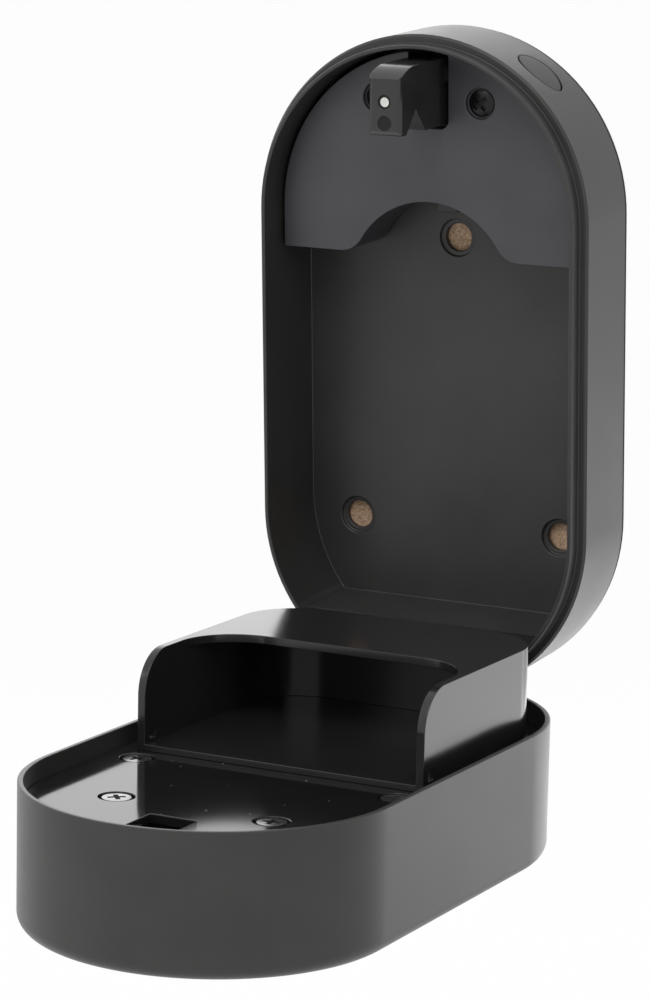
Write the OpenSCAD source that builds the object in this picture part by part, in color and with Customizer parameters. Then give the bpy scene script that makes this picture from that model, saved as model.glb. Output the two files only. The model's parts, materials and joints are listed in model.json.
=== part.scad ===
// Wall-mounted key safe with a fold-down door, a storage bin and a motor lock.
// The wall plane is y = 0, the front faces -Y, +Z is up and the centre of the body is at x = z = 0.
// Door pieces are drawn in the closed position and turned open about the hinge pin.

/* [Overall size] */
// Width of the pill-shaped body
body_w = 78; // [72:1:88]
// Height of the pill-shaped body
body_h = 145; // [140:1:165]
// Depth of the wall housing, from its rear face to the shoulder that the door closes on
housing_d = 20; // [19:0.5:26]
// Depth of the door, from its rim to its front face
door_d = 30; // [29:0.5:36]
// Angle at which the open door rests
open_angle = 86.5; // [80:0.5:88]

/* [Wall housing] */
// Thickness of the housing's side wall
side_wall = 2.8; // [2.6:0.1:4]
// Thickness of the housing's back wall
back_wall = 2.4; // [2:0.1:3]
// Step from the outside of the housing to the spigot that enters the door
spigot_step = 1.9; // [1.7:0.1:2.2]
// Height of the spigot in front of the shoulder
spigot_h = 3.6; // [2.5:0.1:3.7]
// Bevel along the edges of the housing
housing_bevel = 0.5; // [0.2:0.1:0.8]
// Height of the shelf over the hinge, above the bottom of the body
shelf_up = 16.5; // [15.5:0.5:17]
// Thickness of the sealing pad behind the housing
pad_t = 1; // [0.8:0.1:2]
// Inset of the sealing pad from the outside of the housing
pad_inset = 0.3; // [0.2:0.1:3]

/* [Wall fixing] */
// Diameter of the holes for the wall screws
fixing_d = 6.2; // [4.5:0.1:6.5]
// Diameter of the counterbore for the heads of the wall screws
fixing_head_d = 8.3; // [7.5:0.1:9.5]
// Depth of that counterbore
fixing_head_deep = 0.9; // [0.5:0.1:1.1]
// Distance from the top of the body to the single upper hole
fixing_top_down = 46.2; // [46:0.2:52]
// Height of the two lower holes above the bottom of the body
fixing_low_up = 34; // [30:0.5:40]
// Distance between the two lower holes
fixing_spacing = 49.6; // [40:0.2:52]
// Diameter of the two shackle holes in the top of the housing
shackle_d = 9.4; // [8:0.1:10]
// Distance between the two shackle holes
shackle_spacing = 46.2; // [44:0.2:50]
// Distance from the shoulder back to the shackle holes
shackle_back = 10.2; // [9.5:0.1:11]

/* [Mechanism cover] */
// Distance from the shoulder back to the face of the cover
cover_back = 3.6; // [3:0.1:4.5]
// Thickness of the cover
cover_t = 2; // [1.8:0.1:2.5]
// Distance from the top of the body to the lower edge of the cover
cover_drop = 48.3; // [46:0.1:50]
// Radius of the arch in the lower edge of the cover
arch_r = 19.2; // [18:0.1:24]
// Rise of the arch above that edge
arch_rise = 11.9; // [10:0.1:12.4]
// Radius of the corners where the arch meets that edge
arch_corner_r = 5.8; // [2.2:0.1:7]
// Thickness of the skirt between the cover and the back wall
skirt_t = 1.6; // [1.2:0.1:2]
// Distance between the two cover screws
cover_screw_spacing = 24.4; // [24:0.1:28]
// Distance from the top of the body to the cover screws
cover_screw_down = 14.5; // [14:0.1:18]

/* [Latch tongue] */
// Width of the latch tongue
tongue_w = 7.6; // [7:0.1:8]
// Reach of the tongue in front of the shoulder
tongue_reach = 17; // [16.5:0.1:17.5]
// Distance from the top of the body to the top of the tongue
tongue_down = 5.2; // [5:0.1:6]
// Height of the tongue
tongue_h = 14.3; // [14:0.1:15]
// Distance from the shoulder forward to the tip of the notch in the tongue
notch_fwd = 9.8; // [9.6:0.1:10.2]
// Height of that notch
notch_h = 5; // [4.6:0.1:5.2]
// Diameter of the sensing magnet in the end of the tongue
magnet_d = 2; // [1.5:0.1:2.4]
// Length of the magnet
magnet_l = 3; // [2:0.1:5]

/* [Hinge] */
// Distance from the shoulder back to the hinge pin
hinge_back = 6.4; // [6.2:0.1:7]
// Height of the hinge pin above the bottom of the body
hinge_up = 7.1; // [6.8:0.1:7.4]
// Diameter of the hinge pin
pin_d = 4; // [3:0.1:4.4]
// Length of the hinge pin
pin_l = 41; // [38:0.5:42]
// Radius of the eyes on the door
ear_r = 3.6; // [3.4:0.1:3.8]
// Width of each eye
ear_w = 5; // [4:0.1:6]
// Distance between the middles of the two eyes
ear_spacing = 27; // [20:0.5:28]
// Half width of the rolled nose that the door swings under
nose_half = 23.8; // [23.5:0.1:24.2]

/* [Door] */
// Thickness of the rim above the inner plate
rim_t = 1.2; // [1:0.1:1.4]
// Thickness of the door's side wall below the inner plate
wall_t = 2.4; // [2:0.1:3]
// Thickness of the door's front wall
front_t = 2.5; // [2.2:0.1:3]
// Radius of the rounded edge of the door's front
front_edge_r = 3.5; // [2:0.1:4]
// Distance from the rim down to the inner plate
plate_drop = 4.2; // [4:0.1:4.5]
// Thickness of the inner plate
plate_t = 2; // [1.8:0.1:2.4]
// Width of the latch slot in the inner plate
slot_w = 10.4; // [9.5:0.1:12]
// Room in the slot under the tongue
slot_below = 3.8; // [3:0.1:4.5]
// Room in the slot over the tongue
slot_above = 1.1; // [1:0.1:1.4]
// Distance between the two upper plate screws
upper_screw_spacing = 35.2; // [34:0.2:38]
// Distance from the top of the body to the upper plate screws
upper_screw_down = 30.9; // [29:0.1:32]
// Distance between the two lower plate screws
lower_screw_spacing = 60; // [57:0.2:61]
// Height of the lower plate screws above the middle of the body
lower_screw_up = 12.7; // [12.6:0.1:14]

/* [Storage bin] */
// Inset of the bin from the outside of the door
bin_inset = 5.6; // [5.5:0.1:7]
// Thickness of the bin's walls and roof
bin_wall = 1.8; // [1.4:0.1:2.2]
// Thickness of the bin's floor
bin_floor = 1.4; // [1.2:0.1:2]
// Height of the bin's roof above the rim
bin_up = 16.6; // [14:0.1:16.8]
// Gap between the bin's end and the shelf when the door is closed
bin_end_gap = 3.4; // [3.2:0.1:5]
// Corner radius of the bin's end, seen from the roof
bin_corner_r = 14; // [13:0.5:18]
// Height of the front of the bin's walls above the middle of the body
bin_front_up = 7; // [2:0.5:7.5]
// Radius of the rounded upper corner of the bin's walls
bin_round_r = 9; // [6:0.5:12]
// Depth of the finger cut-out in the roof, behind the rounded corners
bin_notch = 19.4; // [12:0.2:22]
// Corner radius of the finger cut-out
bin_notch_r = 13; // [8:0.5:16]

/* [Motor lock] */
// Width of the lock bolt
bolt_w = 6; // [5:0.1:7]
// Thickness of the lock bolt
bolt_t = 8; // [7.6:0.1:8.4]
// Travel of the lock bolt
bolt_travel = 5; // [4.6:0.1:5.2]
// Diameter of the drive screw
screw_d = 3.6; // [3:0.1:4]
// Length of the drive screw
screw_l = 13; // [11:0.5:14]
// Width of the geared motor
motor_w = 12; // [10:0.1:12.5]
// Thickness of the geared motor
motor_t = 10; // [9:0.1:10]
// Length of the geared motor
motor_l = 24; // [20:0.5:26]
// Wall of the lock case
case_wall = 2; // [1.6:0.1:2.4]

/* [Batteries] */
// Diameter of a cell
cell_d = 10.5; // [10:0.1:10.5]
// Length of a cell
cell_l = 44.5; // [43:0.1:45]
// Distance between the middles of neighbouring cells
cell_pitch = 11.2; // [10.8:0.1:11.4]
// Wall of the battery tray
tray_wall = 1.2; // [1:0.1:1.6]

/* [Keypad] */
// Diameter of a key
key_d = 12; // [10:0.1:13]
// Distance between key columns
key_pitch_x = 17; // [15.5:0.1:17.5]
// Distance between key rows
key_pitch_z = 16; // [15.5:0.1:16.5]
// Distance from the upper plate screws down to the top row of keys
keypad_drop = 13.6; // [13.2:0.1:16]
// Travel of a key
key_travel = 0.8; // [0.4:0.1:1]
// Height of a key above the panel
key_proud = 0.9; // [0.8:0.1:1.2]
// Thickness of the keypad panel
panel_t = 0.8; // [0.6:0.1:1.2]
// Inset of the keypad panel from the outside of the door
panel_inset = 9; // [8:0.5:12]
// Diameter of the status lens
lens_d = 5; // [3:0.1:6]
// Thickness of the circuit board
board_t = 1.6; // [1.2:0.1:2]

/* [Fits] */
// Clearance between pieces that are fixed together
fit = 0.1; // [0.05:0.01:0.15]
// Clearance round pieces that slide
slide_fit = 0.2; // [0.15:0.01:0.3]
// Radial clearance of the hinge pin and of the drive screw
pin_fit = 0.05; // [0.02:0.01:0.08]
// Clearance between the door and the rolled nose
swing_gap = 0.4; // [0.3:0.05:0.6]

/* [Hidden] */
$fn = 64;
KEY_NAMES = ["key_1", "key_2", "key_3", "key_4", "key_5", "key_6",
             "key_7", "key_8", "key_9", "key_clear", "key_0", "key_enter"];

// A cut runs this far past the face that it opens, and a boss this far into what carries it
eps = 0.5;
// Overlap that joins two lengths of one piece
weld = 0.01;

// Outline of the body
body_r = body_w / 2;
straight = (body_h - body_w) / 2;
top_z = body_h / 2;
bottom_z = -top_z;

// Depths, counted from the shoulder
shoulder_y = -(pad_t + housing_d);
function fwd(d) = shoulder_y - d;
function back(d) = shoulder_y + d;
floor_y = -(pad_t + back_wall);
cavity_r = body_r - side_wall;
shelf_z = bottom_z + shelf_up;
hinge_y = back(hinge_back);
hinge_z = bottom_z + hinge_up;
nose_r = hinge_back - swing_gap;

// Rear pocket that keeps the wall over the hinge even
core_half = 17;
core_skin = 1.8;
core_floor = 3.5;
shelf_t = 2.4;

// Rib under the arch of the cover
rib_w = 5;
rib_t = 2.6;
rib_h = 5;
rib_gap = 0.8;

// Fixing holes of the housing, as x and z
fixing_top = [0, top_z - fixing_top_down];
fixing_low_z = bottom_z + fixing_low_up;
fixing_holes = [fixing_top, [-fixing_spacing / 2, fixing_low_z], [fixing_spacing / 2, fixing_low_z]];

// Cover and its screws
cover_z = top_z - cover_drop;
arch_z = cover_z + arch_rise - arch_r;
cover_gap = 0.3;
cover_side_gap = 1;
cover_screw_z = top_z - cover_screw_down;
cover_screw_points = [for (side = [-1, 1]) [side * cover_screw_spacing / 2, cover_screw_z]];
cover_boss_d = 6.6;
cover_head_d = 5;
cover_head_h = 1.1;
cover_recess_d = 6.8;
cover_shank_d = 2.4;
cover_shank_l = 9;
cover_hole_floor = 1;
window_gap = 0.9;
window_corner_r = 1.8;

// Latch tongue and its flange behind the cover
tongue_top = top_z - tongue_down;
tongue_bottom = tongue_top - tongue_h;
tongue_lead = 7;
tongue_lead_drop = 2.3;
tongue_lead_steps = 6;
tongue_bevel = 0.8;
tongue_chin = 1;
notch_half = 4.4;
flange_gap = 2;
flange_back = cover_back + cover_t + flange_gap;
flange_t = 3;
flange_side = 4.8;
flange_half = tongue_w / 2 + flange_side;
flange_drop = 8.7;
flange_top_gap = 0.1;
tongue_screw_x = (tongue_w + flange_side) / 2;
tongue_screw_low = 5.5;
tongue_screw_high = 10.5;
tongue_screw_points = [for (side = [-1, 1]) for (up = [-tongue_screw_low, tongue_screw_high])
                         [side * tongue_screw_x, tongue_bottom + up]];
tongue_shank_l = 7;
tongue_hole_floor = 0.2;
magnet_up = 7.1;
magnet_z = tongue_bottom + magnet_up;
magnet_sunk = 0.2;
magnet_rim = 0.5;
magnet_rim_deep = 0.3;
mark_below = 4.5;
mark_z = magnet_z - mark_below;
mark_d = 3.2;
mark_deep = 0.25;
small_head_d = 4.2;
small_head_h = 1.3;
small_shank_d = 2;
small_boss_d = 5;

// Hinge eyes
ear_points = [-ear_spacing / 2, ear_spacing / 2];
ear_root = 12;
ear_room = ear_w / 2 + swing_gap;
rim_bevel = 0.3;

// Door depths, counted forward from the shoulder
plate_rear = plate_drop + plate_t;
front_inside = door_d - front_t;
plate_r = body_r - rim_t - fit;
inside_r = body_r - wall_t;
upper_screw_z = top_z - upper_screw_down;
plate_screw_points = [for (side = [-1, 1]) for (row = [[upper_screw_spacing, upper_screw_z],
                                                        [lower_screw_spacing, lower_screw_up]])
                        [side * row[0] / 2, row[1]]];
plate_head_d = 6;
plate_head_h = 1.1;
plate_recess_d = 7.4;
plate_recess_deep = 1.2;
plate_shank_d = 2.8;
plate_shank_l = 9;
plate_post_d = 7;

// Storage bin
bin_r = body_r - bin_inset;
bin_end_z = shelf_z + bin_end_gap;
bin_top = -bin_up;
bin_window = 2.2;
bin_window_up = 0.6;
bin_screw_side = 5;
bin_screw_low = -26;
bin_screw_high = -2;
bin_screw_points = [for (side = [-1, 1]) for (z = [bin_screw_low, bin_screw_high])
                      [side * (bin_r - bin_screw_side), z]];
bin_screw_head_h = 0.8;
bin_screw_tip = 0.5;
bin_hole_floor = 0.3;

// Lock: the drive screw's axis lies behind the notch, and the bolt's tip meets the notch
bolt_gap = 0.8;
bolt_rear = plate_rear + bolt_gap;
bolt_front = bolt_rear + bolt_t;
drive_fwd = max(plate_rear + fit + motor_t / 2, bolt_rear + bolt_t / 2);
bolt_clear = 1;
bolt_tip_z = tongue_bottom - bolt_clear;
bolt_slope = notch_h / notch_half;
bolt_wedge = 3.4;
bolt_l = 19;
bolt_base_z = bolt_tip_z - bolt_l;
screw_gap = 1.5;
screw_base_z = bolt_base_z - screw_gap;
screw_room = 0.6;
case_half = max(motor_w, bolt_w) / 2 + slide_fit + case_wall;
case_front = max(drive_fwd + motor_t / 2, bolt_front) + slide_fit + case_wall;
bolt_shown = 4.5;
case_top_z = bolt_tip_z - bolt_shown;
case_bottom_z = screw_base_z - motor_l - fit - case_wall;
case_flange_t = 3;
case_flange = 4.9;
case_lug_h = 6;
case_screw_low = 4;
case_screw_high = 8;
case_lug_points = [case_bottom_z + case_screw_low, case_top_z - case_screw_high];
case_screw_x = case_half + case_flange / 2;
case_screw_points = [for (side = [-1, 1]) for (z = case_lug_points) [side * case_screw_x, z]];
case_hole_floor = 0.6;
case_screw_tip = 0.3;
gearbox_l = 9.6;

// Batteries
cells = 4;
cell_gap = 0.9;
cell_fwd = plate_rear + cell_gap + cell_d / 2;
cell_end_room = 2.2;
tray_floor = cell_fwd + cell_d / 2 + fit;
tray_front = tray_floor + tray_wall;
tray_half = (cells - 1) / 2 * cell_pitch + cell_d / 2 + slide_fit + tray_wall;
tray_l = cell_l + 2 * (cell_end_room + tray_wall);
tray_down = 3.2;
tray_top_z = -tray_down;
tray_bottom_z = tray_top_z - tray_l;
tray_mid_z = (tray_top_z + tray_bottom_z) / 2;
tray_ear = 6;
tray_screw_pitch = 26;
tray_screw_points = [for (side = [-1, 1]) for (end = [-1, 1])
                       [side * (tray_half + tray_ear / 2), tray_mid_z + end * tray_screw_pitch / 2]];
tray_screw_bite = 5;
tray_hole_l = 6;
cell_nub_d = 3.8;
cell_nub_h = 1;
contact_t = 0.4;
contact_cap_d = 5.5;
contact_side = 0.5;
contact_lift = 0.6;

// Keypad stack, counted forward from the shoulder
key_rows = 4;
key_columns = 3;
key_flange_side = 0.8;
flange_d = key_d + 2 * key_flange_side;
key_flange_t = 1.2;
key_skin = 0.6;
key_shell = 2.4;
key_flange_front = front_inside - slide_fit;
key_flange_rear = key_flange_front - key_flange_t;
membrane_t = 1;
membrane_edge = 0.5;
dome_d = 6;
dome_h = key_flange_t + key_skin;
membrane_front = key_flange_rear - key_travel - slide_fit;
board_front = membrane_front - membrane_t;
board_rear = board_front - board_t;
panel_r = body_r - panel_inset;
board_edge = 0.4;
board_half = key_pitch_x + flange_d / 2 + board_edge;
board_corner_r = 3;
first_row_z = upper_screw_z - keypad_drop;
last_row_z = first_row_z - (key_rows - 1) * key_pitch_z;
membrane_top_z = first_row_z + flange_d / 2 + membrane_edge;
membrane_bottom_z = last_row_z - flange_d / 2 - membrane_edge;
board_above = 15.2;
board_below = 6;
board_top_z = upper_screw_z + board_above;
board_bottom_z = membrane_bottom_z - board_below;
lens_down = 6;
lens_z = board_top_z - lens_down;
board_screw_low = 3.2;
board_screw_high = 7.4;
board_screw_side = 3.4;
board_screw_points = [for (side = [-1, 1])
                        for (z = [membrane_bottom_z - board_screw_low, upper_screw_z + board_screw_high])
                          [side * (board_half - board_screw_side), z]];
board_screw_bite = 2.4;
chip_w = 12;
chip_l = 10;
chip_t = 1.4;
chip_down = 6;
part_w = 6;
part_t = 1;
part_x = -14;
function key_x(i) = ((i % key_columns) - (key_columns - 1) / 2) * key_pitch_x;
function key_z(i) = first_row_z - floor(i / key_columns) * key_pitch_z;

// Colours
black = "#1d1d1f";
gloss_black = "#0d0d10";
grey = "#34353a";
cork = "#a9825c";
steel = "#b9bcc0";
dark_steel = "#4a4b4e";

// Outline of the body, drawn with a given half width
module stadium(r) {
    for (end = [-1, 1])
        translate([0, end * straight]) circle(r);
    square([2 * r, 2 * straight], center = true);
}

// Extrudes an x-z outline from y_front back to y_rear
module slab(y_front, y_rear) {
    translate([0, y_rear, 0])
        rotate([90, 0, 0])
            linear_extrude(y_rear - y_front) children();
}

// A round bar along Y from y_front to y_rear at a point given as x and z
module bar(point, d, y_front, y_rear) {
    translate([point[0], y_rear, point[1]])
        rotate([90, 0, 0]) cylinder(d = d, h = y_rear - y_front);
}

// A round bar along X, centred
module cross_bar(r, l) {
    rotate([0, 90, 0]) cylinder(r = r, h = l, center = true);
}

// A box from its limits on each axis
module limits(x, y, z) {
    translate([x[0], y[0], z[0]])
        cube([x[1] - x[0], y[1] - y[0], z[1] - z[0]]);
}

// Sweeps a half section, as radius and distance in front of the wall, round the body's outline
module pill() {
    for (end = [-1, 1])
        translate([0, 0, end * straight])
            rotate([90, 0, 0]) rotate_extrude() children();
    linear_extrude(2 * straight, center = true)
        for (side = [0, 1])
            mirror([side, 0]) mirror([0, 1]) children();
}

// A rectangle with round corners, from its limits
module rounded(x, z, r) {
    translate([x[0] + r, z[0]]) square([x[1] - x[0] - 2 * r, z[1] - z[0]]);
    translate([x[0], z[0] + r]) square([x[1] - x[0], z[1] - z[0] - 2 * r]);
    for (cx = [x[0] + r, x[1] - r])
        for (cz = [z[0] + r, z[1] - r])
            translate([cx, cz]) circle(r);
}

// A screw along Y whose head faces the front or, with to_rear, the back
module cross_screw(point, head_d, head_h, shank_d, shank_l, y_seat, to_rear = false) {
    turn = to_rear ? 0 : 180;
    slot_l = head_d * 0.62;
    slot_t = head_d * 0.15;
    slot_floor = head_h * 0.45;
    translate([point[0], y_seat, point[1]])
        rotate([0, 0, turn]) {
            difference() {
                bar([0, 0], head_d, 0, head_h);
                for (angle = [0, 90])
                    rotate([0, angle, 0])
                        translate([-slot_l / 2, slot_floor, -slot_t / 2]) cube([slot_l, head_h, slot_t]);
            }
            bar([0, 0], shank_d, -shank_l, weld);
        }
}

// Turns the closed door's pieces open about the hinge pin
module opened() {
    translate([0, hinge_y, hinge_z])
        rotate([open_angle, 0, 0])
            translate([0, -hinge_y, -hinge_z]) children();
}

// Half section of the housing's outside, bevelled at the rear edge and at the shoulder
module housing_section() {
    rear = pad_t;
    front = pad_t + housing_d;
    polygon([[0, rear], [body_r - housing_bevel, rear], [body_r, rear + housing_bevel],
             [body_r, front - housing_bevel], [body_r - housing_bevel, front], [0, front]]);
}

// Room inside the housing: above the shelf at full depth, and the whole outline inside the spigot
module housing_cavity() {
    slab(shoulder_y - eps, floor_y)
        difference() {
            stadium(cavity_r);
            translate([-body_r, bottom_z]) square([body_w, shelf_z - bottom_z]);
        }
    slab(fwd(spigot_h) - eps, shoulder_y) stadium(cavity_r);
}

// What is cut away so that the door can swing under the housing
module swing_relief() {
    limits([-nose_half, nose_half], [fwd(spigot_h) - eps, shoulder_y], [bottom_z - eps, shelf_z]);
    translate([0, hinge_y, hinge_z]) {
        difference() {
            limits([-nose_half, nose_half], [-hinge_back - eps, 0], [-hinge_up - eps, 0]);
            cross_bar(nose_r, body_w);
        }
        limits([-nose_half, nose_half], [-eps, housing_d + pad_t], [-hinge_up - eps, -nose_r]);
        for (x = ear_points)
            translate([x, 0, 0])
                limits([-ear_room, ear_room], [-hinge_back - eps, ear_r + swing_gap],
                       [-hinge_up - eps, ear_r + swing_gap]);
    }
}

module wall_housing() {
    core_front = back(hinge_back + ear_r + swing_gap + core_skin);
    arch_top = cover_z + arch_rise;
    color(black) {
        difference() {
            union() {
                pill() housing_section();
                slab(fwd(spigot_h), back(eps)) stadium(body_r - spigot_step);
            }
            housing_cavity();
            swing_relief();
            translate([0, hinge_y, hinge_z]) cross_bar(pin_d / 2 + pin_fit, body_w);
            limits([-core_half, core_half], [core_front, 0], [bottom_z + core_floor, shelf_z - shelf_t]);
            for (p = fixing_holes) {
                bar(p, fixing_d, floor_y - eps, 0);
                bar(p, fixing_head_d, floor_y - eps, floor_y + fixing_head_deep);
            }
            for (side = [-1, 1])
                translate([side * shackle_spacing / 2, back(shackle_back), straight])
                    cylinder(d = shackle_d, h = top_z);
        }
        for (p = cover_screw_points)
            difference() {
                bar(p, cover_boss_d, back(cover_back + cover_t), floor_y + eps);
                bar(p, cover_shank_d + 2 * fit, back(cover_back), floor_y - cover_hole_floor);
            }
        for (p = tongue_screw_points)
            difference() {
                bar(p, small_boss_d, back(flange_back + flange_t), floor_y + eps);
                bar(p, small_shank_d + 2 * fit, back(flange_back), floor_y - tongue_hole_floor);
            }
        limits([-rib_w / 2, rib_w / 2], [floor_y - rib_h, floor_y + eps],
               [arch_top - rib_gap - rib_t, arch_top - rib_gap]);
    }
}

module wall_pad() {
    color(cork)
        slab(-pad_t, 0) stadium(body_r - pad_inset);
}

// What is cut off the corner between the arch and the cover's straight edge, on the right side
module arch_corner(raise) {
    edge_z = cover_z + raise;
    middle_z = cover_z + arch_corner_r;
    middle_x = sqrt(pow(arch_r + arch_corner_r, 2) - pow(middle_z - arch_z, 2));
    tip_x = sqrt(pow(arch_r + raise, 2) - pow(edge_z - arch_z, 2));
    near = (arch_r + raise - eps) / (arch_r + arch_corner_r);
    difference() {
        polygon([[middle_x, edge_z - eps], [middle_x, middle_z],
                 [middle_x * near, arch_z + (middle_z - arch_z) * near], [tip_x - eps, edge_z - eps]]);
        translate([middle_x, middle_z]) circle(arch_corner_r - raise);
    }
}

// Outline of the cover, with its lower edge raised by a given amount
module cover_outline(raise) {
    difference() {
        stadium(cavity_r - cover_side_gap);
        translate([-body_r, bottom_z]) square([body_w, cover_z + raise - bottom_z]);
        translate([0, arch_z]) circle(arch_r + raise);
        arch_corner(raise);
        mirror([1, 0]) arch_corner(raise);
    }
}

module mechanism_cover() {
    half = tongue_w / 2 + window_gap;
    face_y = back(cover_back);
    color(grey)
        difference() {
            union() {
                slab(face_y, back(cover_back + cover_t)) cover_outline(0);
                slab(face_y, floor_y - cover_gap)
                    difference() {
                        cover_outline(0);
                        cover_outline(skirt_t);
                    }
            }
            slab(face_y - eps, back(cover_back + cover_t) + eps)
                rounded([-half, half], [tongue_bottom - window_gap, top_z + half], window_corner_r);
            for (p = cover_screw_points) {
                bar(p, cover_recess_d, face_y - eps, face_y + cover_head_h + fit);
                bar(p, cover_shank_d + 2 * fit, face_y - eps, back(cover_back + cover_t) + eps);
            }
        }
}

module cover_screws() {
    seat = back(cover_back) + cover_head_h + fit;
    color(dark_steel)
        for (p = cover_screw_points)
            cross_screw(p, cover_head_d, cover_head_h, cover_shank_d, cover_shank_l, seat);
}

// Side section of the tongue, as distance in front of the shoulder and height
module tongue_section() {
    root = -flange_back;
    lead_in = [for (i = [0 : tongue_lead_steps])
                 let (s = i / tongue_lead_steps)
                   [tongue_reach - tongue_lead * s, tongue_top - tongue_lead_drop * pow(1 - s, 2)]];
    polygon(concat([[root, tongue_bottom], [notch_fwd - notch_half, tongue_bottom],
                    [notch_fwd, tongue_bottom + notch_h], [notch_fwd + notch_half, tongue_bottom],
                    [tongue_reach - tongue_chin, tongue_bottom], [tongue_reach, tongue_bottom + tongue_chin]],
                   lead_in, [[root, tongue_top]]));
}

// Plan of the tongue, with the front edges bevelled
module tongue_plan() {
    half = tongue_w / 2;
    tip = fwd(tongue_reach);
    polygon([[-half, tip + tongue_bevel], [-half + tongue_bevel, tip], [half - tongue_bevel, tip],
             [half, tip + tongue_bevel], [half, back(flange_back + eps)], [-half, back(flange_back + eps)]]);
}

module latch_tongue() {
    tip = fwd(tongue_reach);
    color(black)
        difference() {
            union() {
                intersection() {
                    translate([-tongue_w, shoulder_y, 0])
                        rotate([90, 0, 90]) mirror([1, 0]) linear_extrude(2 * tongue_w) tongue_section();
                    translate([0, 0, tongue_bottom - eps])
                        linear_extrude(tongue_h + 2 * eps) tongue_plan();
                }
                limits([-flange_half, flange_half], [back(flange_back), back(flange_back + flange_t)],
                       [tongue_bottom - flange_drop, tongue_top - flange_top_gap]);
            }
            bar([0, magnet_z], magnet_d + 2 * pin_fit, tip - eps, tip + magnet_l + magnet_sunk + fit);
            bar([0, magnet_z], magnet_d + 2 * magnet_rim, tip - eps, tip + magnet_rim_deep);
            bar([0, mark_z], mark_d, tip - eps, tip + mark_deep);
            for (p = tongue_screw_points)
                bar(p, small_shank_d + 2 * fit, back(flange_back) - eps, back(flange_back + flange_t) + eps);
        }
}

module tongue_screws() {
    color(steel)
        for (p = tongue_screw_points)
            cross_screw(p, small_head_d, small_head_h, small_shank_d, tongue_shank_l, back(flange_back));
}

module sensing_magnet() {
    tip = fwd(tongue_reach);
    color(steel)
        bar([0, magnet_z], magnet_d, tip + magnet_sunk, tip + magnet_sunk + magnet_l);
}

module shackle_plugs() {
    color(black)
        difference() {
            intersection() {
                for (side = [-1, 1])
                    translate([side * shackle_spacing / 2, back(shackle_back), straight])
                        cylinder(d = shackle_d - 2 * pin_fit, h = top_z);
                pill() housing_section();
            }
            slab(shoulder_y, floor_y) stadium(cavity_r);
        }
}

module hinge_pin() {
    color(steel)
        translate([0, hinge_y, hinge_z]) cross_bar(pin_d / 2, pin_l);
}

// Half section of the door's outside, round at the front edge and bevelled at the rim
module door_section() {
    rim = pad_t + housing_d;
    front = rim + door_d;
    polygon([[0, rim], [body_r - rim_bevel, rim], [body_r, rim + rim_bevel], [body_r, front - front_edge_r],
             [0, front - front_edge_r]]);
    translate([0, front - front_edge_r - eps]) square([body_r - front_edge_r, front_edge_r + eps]);
    translate([body_r - front_edge_r, front - front_edge_r]) circle(front_edge_r);
}

// Half section of the room inside the door, stepped where the inner plate is seated
module door_room_section() {
    rim = pad_t + housing_d;
    polygon([[0, rim - eps], [body_r - rim_t, rim - eps], [body_r - rim_t, rim + plate_rear],
             [inside_r, rim + plate_rear], [inside_r, rim + front_inside], [0, rim + front_inside]]);
}

// One of the eyes that carry the door on the hinge pin
module door_ear(x) {
    translate([x, hinge_y, hinge_z]) {
        cross_bar(ear_r, ear_w);
        limits([-ear_w / 2, ear_w / 2], [-hinge_back - ear_root, 0], [-ear_r, ear_r]);
    }
}

module door_shell() {
    front_y = fwd(front_inside);
    color(black)
        opened()
            difference() {
                union() {
                    difference() {
                        pill() door_section();
                        pill() door_room_section();
                    }
                    for (x = ear_points)
                        door_ear(x);
                    for (p = plate_screw_points)
                        bar(p, plate_post_d, front_y - eps, fwd(plate_rear));
                    for (p = board_screw_points)
                        bar(p, small_boss_d, front_y - eps, fwd(board_front));
                    for (p = tray_screw_points)
                        bar(p, small_boss_d, front_y - eps, fwd(tray_front));
                }
                translate([0, hinge_y, hinge_z]) cross_bar(pin_d / 2 + pin_fit, body_w);
                for (p = plate_screw_points)
                    bar(p, plate_shank_d + 2 * fit, fwd(plate_rear + plate_shank_l), fwd(plate_rear) + eps);
                for (p = board_screw_points)
                    bar(p, small_shank_d + 2 * fit, fwd(front_inside), fwd(board_front) + eps);
                for (p = tray_screw_points)
                    bar(p, small_shank_d + 2 * fit, fwd(tray_front + tray_hole_l), fwd(tray_front) + eps);
                slab(fwd(door_d) - eps, fwd(door_d - panel_t)) stadium(panel_r + fit);
                for (i = [0 : len(KEY_NAMES) - 1])
                    bar([key_x(i), key_z(i)], key_d + 2 * slide_fit, fwd(door_d), front_y + eps);
                bar([0, lens_z], lens_d + 2 * fit, fwd(door_d), front_y + eps);
            }
}

module inner_plate() {
    slot_low = tongue_bottom - slot_below;
    slot_high = tongue_top + slot_above;
    face_y = fwd(plate_drop);
    rear_y = fwd(plate_rear);
    color(gloss_black)
        opened()
            difference() {
                slab(rear_y, face_y) stadium(plate_r);
                limits([-slot_w / 2, slot_w / 2], [rear_y - eps, face_y + eps], [slot_low, slot_high]);
                for (x = ear_points)
                    limits([x - ear_room, x + ear_room], [rear_y - eps, face_y + eps],
                           [bottom_z, hinge_z + ear_r + swing_gap]);
                for (p = plate_screw_points) {
                    bar(p, plate_recess_d, face_y - plate_recess_deep, face_y + eps);
                    bar(p, plate_shank_d + 2 * fit, rear_y - eps, face_y);
                }
                for (p = bin_screw_points)
                    bar(p, small_shank_d + 2 * fit, rear_y - eps, face_y + eps);
                for (p = case_screw_points)
                    bar(p, small_shank_d + 2 * fit, rear_y - eps, face_y - case_hole_floor);
            }
}

module plate_screws() {
    seat = fwd(plate_drop + plate_recess_deep);
    color(dark_steel)
        opened()
            for (p = plate_screw_points)
                cross_screw(p, plate_head_d, plate_head_h, plate_shank_d, plate_shank_l, seat, true);
}

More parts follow.
